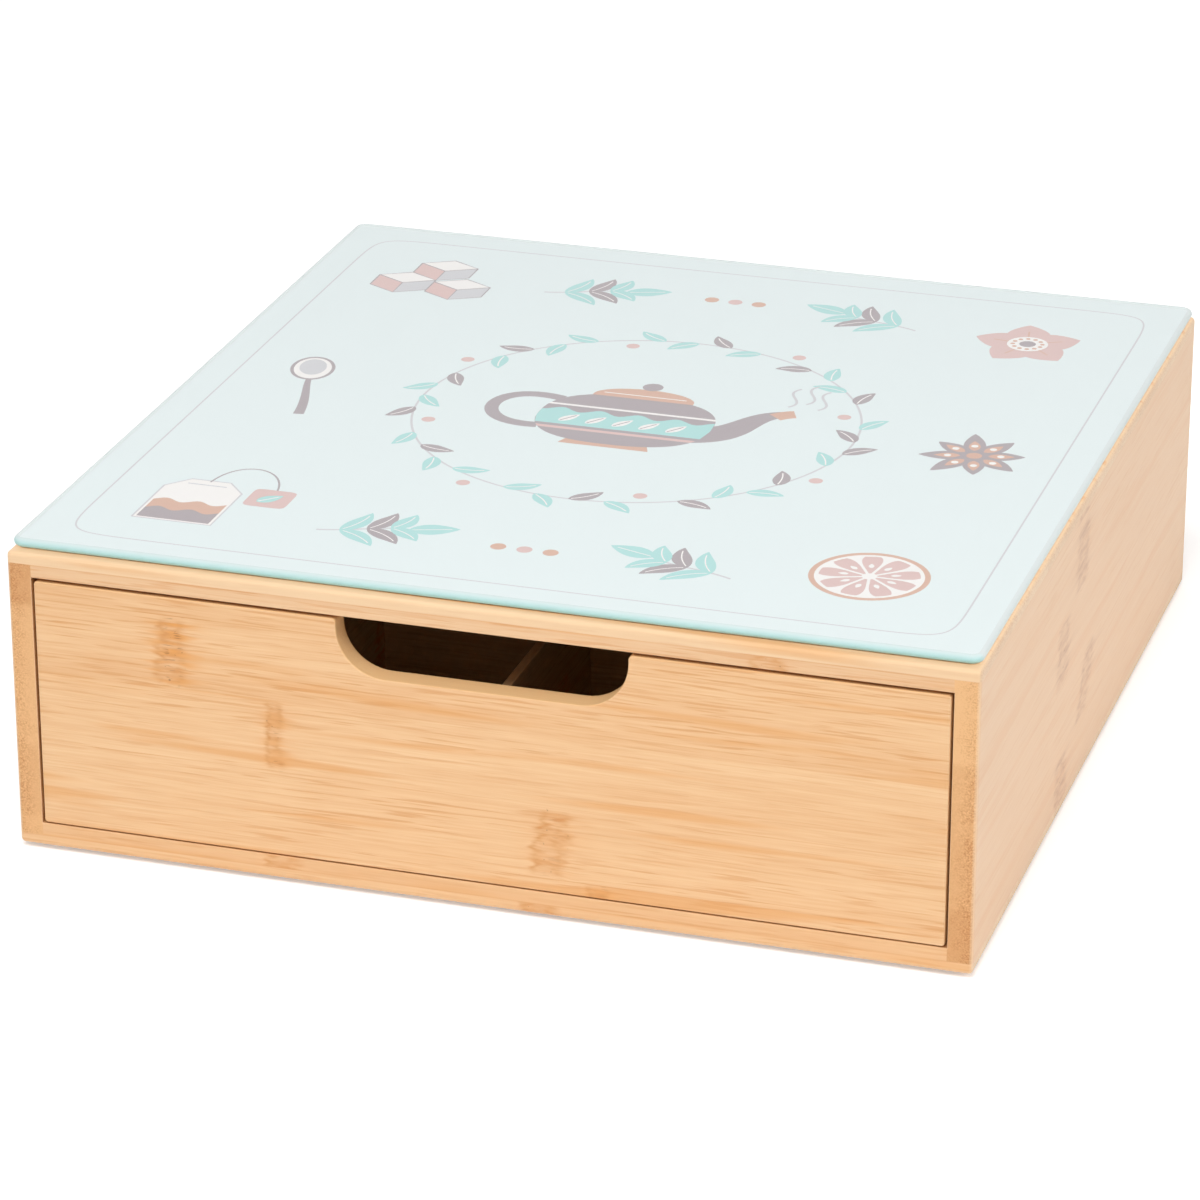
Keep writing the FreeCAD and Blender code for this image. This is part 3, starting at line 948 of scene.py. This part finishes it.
def ring(radius_x, radius_y, power=2.0, count=48, centre=(0.0, 0.0)):
    """Points of a superellipse: cosine and sine, each drawn out by two over the power."""
    t = np.linspace(0.0, 2 * math.pi, count, endpoint=False)
    x = radius_x * np.sign(np.cos(t)) * np.abs(np.cos(t)) ** (2 / power)
    y = radius_y * np.sign(np.sin(t)) * np.abs(np.sin(t)) ** (2 / power)
    return np.stack([x, y], axis=1) + np.array(centre)


def filled(outline, centre=None):
    """An outline filled towards a centre: each point runs in along a straight line."""
    centre = outline.mean(axis=0) if centre is None else np.array(centre, float)
    return np.stack([np.broadcast_to(centre, outline.shape), outline], axis=1)


def leaf(base, tip, width, curl=0.0, across=5):
    """A blade: a bent line from base to tip, as wide as a sine drawn towards the base."""
    base, tip = np.array(base, float), np.array(tip, float)
    side = np.array([-(tip - base)[1], (tip - base)[0]]) * curl
    third = (tip - base) / 3
    spine = bezier(base, base + third + side, base + (tip - base) * 2 / 3 + side, tip, 14)
    t = np.linspace(0.0, 1.0, 14)
    half_width = width / 2 * np.sin(math.pi * t ** 0.8) ** 0.85 + 0.05
    off_spine = half_width[:, None] * np.linspace(-1.0, 1.0, across)
    return spine[:, None, :] + normals(spine)[:, None, :] * off_spine[:, :, None], spine


# %% [markdown]
# Motifs
# The picture is about tea: a pot in a wreath of leaves, and round it a tea bag, a slice of
# citrus, a blossom, sugar cubes, a spoon, star anise and sprigs of the tea bush. Each motif
# is a function that cuts its patches round its own origin, and a placing step turns, sizes
# and moves what it cut. The shapes are flat fills in a few inks with thin outlines.

# %% Small motifs
LINE = 0.6


def bladed(ink, base, tip, width, curl=0.0, rib="cream"):
    """A leaf with its middle rib."""
    blade, spine = leaf(base, tip, width, curl)
    lay(ink, blade)
    lay(rib, stroke(spine[1:-2], LINE * 0.8))


def dot(ink, x, y, radius, count=20):
    """A round spot."""
    lay(ink, filled(ring(radius, radius, count=count, centre=(x, y))), closed=True)


def sprig():
    """A sprig of the tea bush: a bent stem, a leaf at its tip and three pairs along it."""
    stem = bezier((0, -20), (2, -8), (-3, 6), (1, 12))
    lay("slate", stroke(stem, LINE * 1.6))
    bladed("teal", (1, 12), (1, 30), 9.0)
    for share, reach, ink in ((0.25, 15.0, "teal"), (0.5, 14.0, "umber"), (0.78, 12.0, "teal")):
        root = stem[int(share * 23)]
        for side in (-1.0, 1.0):
            bladed(ink, root, root + np.array([side * reach, reach * 0.75]), 7.0, side * 0.12)


def blossom():
    """Five petals round a disc with a ring of dots."""
    petal_turns = 2 * math.pi * (np.arange(5) / 5 + 0.25)
    for angle in petal_turns:
        way = np.array([math.cos(angle), math.sin(angle)])
        blade, spine = leaf(way * 2.0, way * 17.0, 13.5)
        lay("blush", blade)
        lay("clay", stroke(spine[2:9], LINE * 0.9))
    dot("cream", 0.0, 0.0, 6.4, 32)
    dot("umber", 0.0, 0.0, 2.6)
    for angle in np.arange(12) * math.pi / 6:
        dot("clay", 4.6 * math.cos(angle), 4.6 * math.sin(angle), 0.75, 12)


def citrus():
    """A slice: rind, pith and nine segments, wedges whose angle swells in the middle."""
    lay("clay", filled(ring(17.0, 17.0, count=64)), closed=True)
    lay("cream", filled(ring(15.4, 15.4, count=64)), closed=True)
    for turn in np.arange(9) * 2 * math.pi / 9:
        radius = np.linspace(2.2, 14.2, 12)
        half_angle = 0.29 * np.sin(math.pi * np.linspace(0.06, 0.94, 12)) ** 0.35
        angle = turn + half_angle[:, None] * np.linspace(-1.0, 1.0, 7)
        ways = np.stack([np.cos(angle), np.sin(angle)], axis=-1)
        lay("blush", radius[:, None, None] * ways)
    for turn in np.arange(9) * 2 * math.pi / 9:
        way = np.array([math.cos(turn), math.sin(turn)])
        lay("cream", leaf(way * 6.0, way * 9.0, 1.5)[0])


def tea_bag():
    """A bag with tea up to a wavy level, and its tag on a string."""
    bag = np.array([(-12, -16), (12, -16), (12, 9), (6, 16), (-6, 16), (-12, 9)], float)
    lay("cream", filled(bag), closed=True)
    across = np.linspace(-1.0, 1.0, 25)
    floor_line = np.stack([11.0 * across, np.full(25, -15.0)], axis=1)
    level = -1.0 + 1.1 * np.sin(across * 7.0)
    for ink, drop in (("clay", 0.0), ("umber", 6.5)):
        lay(ink, np.stack([floor_line, np.stack([11.0 * across, level - drop], axis=1)], axis=1))
    lay("slate", stroke(np.vstack([bag, bag[:1]]), LINE))
    lay("slate", stroke(np.array([(-6.0, 12.5), (6.0, 12.5)]), LINE))
    lay("umber", stroke(bezier((0, 15), (2, 34), (18, 32), (21, 14)), LINE))
    lay("blush", filled(ring(6.5, 6.5, power=7.0, centre=(21.0, 8.0))), closed=True)
    bladed("teal", (18, 5), (24, 11), 4.6)


def sugar():
    """Three cubes, each one its top, left and right faces."""
    side, depth = 9.5, 5.2
    for x, y in ((-0.5, 6.5), (-10.0, -8.0), (9.0, -9.5)):
        corner = np.array([x, y])
        rhombus = np.array([(0, depth), (side, 0), (0, -depth), (-side, 0)])
        top = corner + rhombus + np.array([0, side])
        left = corner + np.array([(-side, side), (0, side - depth), (0, -depth), (-side, 0)])
        right = corner + np.array([(side, side), (0, side - depth), (0, -depth), (side, 0)])
        for ink, side_face in (("cream", top), ("blush", left), ("slate", right)):
            lay(ink, filled(side_face), closed=True)
        for side_face in (top, left, right):
            lay("umber", stroke(np.vstack([side_face, side_face[:1]]), LINE * 0.8))


def spoon():
    """A handle that narrows to the bowl, and three ovals for the bowl."""
    lay("umber", stroke(bezier((0, -26), (1.5, -10), (-1.0, 0), (0, 8)), np.linspace(3.6, 1.8, 24)))
    lay("umber", filled(ring(7.6, 11.0, centre=(0, 17))), closed=True)
    lay("cream", filled(ring(6.4, 9.8, centre=(0, 17))), closed=True)
    lay("slate", filled(ring(4.6, 7.4, centre=(0, 18.2))), closed=True)


def anise():
    """Eight pods of three lengths, each with its seed."""
    for number in range(8):
        angle = math.radians(45 * number + 12)
        way = np.array([math.cos(angle), math.sin(angle)])
        lay("umber", leaf(way * 1.5, way * (16.5 + 1.5 * (number % 3)), 7.2)[0])
        lay("clay", leaf(way * 4.5, way * 13.0, 3.8)[0])
        dot("cream", *(way * 8.6), 1.2, 16)
    dot("clay", 0.0, 0.0, 2.6)


# %% Teapot and wreath
def pot_half_width(y):
    """Half the pot's width at height y, from the superellipse of its body."""
    return 29.0 * (1 - np.abs(y / 22.0) ** 2.5) ** (1 / 2.5)


def pot_band(ink, low, high, wave=0.0):
    """A band round the pot from low to high, at each height as wide as the pot is there."""
    share = np.linspace(-1.0, 1.0, 41)
    rise = np.linspace(0.0, 1.0, 3)[:, None]
    y = low + (high - low + wave * np.sin(share * 14.0)) * rise
    lay(ink, np.stack([pot_half_width(y) * share, y], axis=-1))


def steam():
    """One curl of steam."""
    lay("slate", stroke(bezier((0, 0), (6, 6), (-6, 11), (0, 17)), LINE * 1.5))


def teapot():
    """Spout, handle, foot, the body with its bands, the lid and the steam."""
    lay("umber", stroke(bezier((22, -6), (42, -4), (34, 16), (50, 21)), np.linspace(15.0, 4.6, 24)))
    lay("clay", stroke(bezier((45.4, 17.0), (47.4, 19.4), (49, 20.4), (51, 21.2), 8), 6.4))
    lay("umber", stroke(bezier((-25, 13), (-52, 22), (-52, -16), (-26, -12)), 4.6))
    foot = np.array([(-15, -24.5), (15, -24.5), (13, -19), (-13, -19)], float)
    lay("clay", filled(foot), closed=True)
    lay("umber", filled(ring(29.0, 22.0, power=2.5, count=96), (0, 0)), closed=True)
    pot_band("teal", -9.0, 4.0, wave=1.6)
    pot_band("cream", 7.5, 9.0)
    pot_band("blush", -13.0, -11.0)
    for x in (-18.0, -9.0, 0.0, 9.0, 18.0):
        bladed("cream", (x - 2.6, -6.4), (x + 2.6, 0.6), 3.6, 0.0, "umber")
    lid = np.linspace(0.0, math.pi, 33)
    arch = np.stack([17.0 * np.cos(lid), 20.5 + 8.0 * np.sin(lid)], axis=1)
    rim = np.stack([17.0 * np.cos(lid), np.full(33, 19.5)], axis=1)
    lay("clay", np.stack([rim, arch], axis=1))
    lay("cream", stroke(np.array([(-14.0, 22.6), (14.0, 22.6)]), LINE))
    dot("umber", 0.0, 31.2, 3.4, 32)
    for number, height in enumerate((27.0, 31.0, 27.0)):
        place(steam, 47.0 + 5.0 * number, height)


def wreath():
    """Leaves outside and inside a circle in turn, and a berry for every fifth one."""
    radius, count = 74.0, 40
    lay("slate", stroke(ring(radius, radius, count=160), LINE * 1.3, closed=True), closed=True)
    for number in range(count):
        side = 1.0 if number % 2 else -1.0
        turn = 360.0 * number / count
        root = radius * np.array([math.cos(math.radians(turn)), math.sin(math.radians(turn))])
        if number % 5 == 2:
            place(lambda: dot("blush", 0.0, 0.0, 2.3), *(root * (1 + side * 0.075)))
        else:
            ink = "teal" if number % 3 else "umber"
            leaning = turn + 90.0 - side * 43.0
            place(lambda: bladed(ink, (0, 0), (12.5, 0), 5.6, side * 0.1), *root, leaning)


# %% [markdown]
# Layout
# The pot stands in the middle, the small motifs at the corners and sides of a square round
# it, and a hair line with round corners frames them all. Three dots stand between the sprigs
# at the front and at the back.

# %% Layout
CORNER, SIDE = 107.0, 118.0
FRAME_INSET = 11.0


def border():
    """A hair line with round corners, and three dots at the front and the back."""
    frame_line = ring(HALF_WIDTH - FRAME_INSET, HALF_DEPTH - FRAME_INSET, power=28.0, count=400)
    lay("slate", stroke(frame_line, LINE, closed=True), closed=True)
    for y in (-SIDE, SIDE):
        for ink, x in (("clay", -8.5), ("blush", 0.0), ("clay", 8.5)):
            dot(ink, x, y, 2.5, 24)


inset = Vector((GROUND_INSET, GROUND_INSET, 0.0))
rim = rounded_rectangle(glass_low + inset, glass_high - inset, GLASS_CORNER - GROUND_INSET)
lay("ground", filled(rim / MM - PRINT_CENTRE), closed=True)
place(border, 0.0, 0.0)
place(wreath, 0.0, 0.0)
place(teapot, -3.0, -3.0, 0.0, 1.02)
place(citrus, CORNER, -CORNER, 20.0, 1.1)
place(tea_bag, -CORNER - 6.0, -CORNER - 4.0, 0.0, 1.1)
place(blossom, CORNER, CORNER, 10.0, 1.1)
place(sugar, -CORNER, CORNER, 0.0, 1.1)
place(anise, SIDE - 4.0, 0.0)
place(spoon, -SIDE + 4.0, -4.0, 14.0)
for side in (-1.0, 1.0):
    place(sprig, side * 50.0, -SIDE + 2.0, side * 72.0, 0.9)
    place(sprig, side * 50.0, SIDE - 4.0, side * 72.0, 0.9)
deepest = max(block[0, 2] for blocks in picture.points.values() for block in blocks)
print("patches:", sum(len(blocks) for blocks in picture.points.values()), "layers:", int(deepest))

# %% [markdown]
# From patches to pieces
# All patches of an ink go into one mesh, each at the height of its layer, and get a wall
# thinner than a layer. The ground runs to where the glass's edge begins to curve. A patch
# that was filled towards a centre has many copies of that centre, which are welded into one.
# The inks have the fine mottle that a screen leaves.

# %% One ink as a piece
LAYER_STEP = 0.006 * MM
FILM = 0.004 * MM
WELD = 1e-8


def flat_piece(name, points, quads, base):
    """A piece of ink: its points in metres and in layers, each layer a step above the last."""
    corners = np.column_stack([points[:, :2], glass_low.z + LAYER_STEP * (1.0 + points[:, 2])])
    a, b, c, d = [corners[quads[:, corner], :2] for corner in range(4)]
    area = (c - a)[:, 0] * (d - b)[:, 1] - (c - a)[:, 1] * (d - b)[:, 0]
    quads = np.where((area < 0)[:, None], quads[:, ::-1], quads)
    mesh = bpy.data.meshes.new(name)
    mesh.from_pydata(corners, [], quads.tolist())
    welded = bmesh.new()
    welded.from_mesh(mesh)
    bmesh.ops.remove_doubles(welded, verts=welded.verts, dist=WELD)
    welded.to_mesh(mesh)
    welded.free()
    mesh.materials.append(grained("ink_" + name, base, 0.55, 900.0, 0.001 * MM, mottle=0.02))
    piece = bpy.data.objects.new(name, mesh)
    bpy.context.scene.collection.objects.link(piece)
    thick = piece.modifiers.new("thickness", "SOLIDIFY")
    thick.thickness = FILM
    thick.offset = -1.0
    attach(piece, "case")
    return piece


# %% Build the inks
for ink, blocks in picture.points.items():
    points = np.vstack(blocks)
    points[:, :2] = (points[:, :2] + PRINT_CENTRE) * MM
    piece = flat_piece("print_" + ink, points, np.vstack(picture.quads[ink]), INKS[ink])
    if ink == "ground":
        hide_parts("glass_print")
    print("ink", ink, "patches", len(blocks))
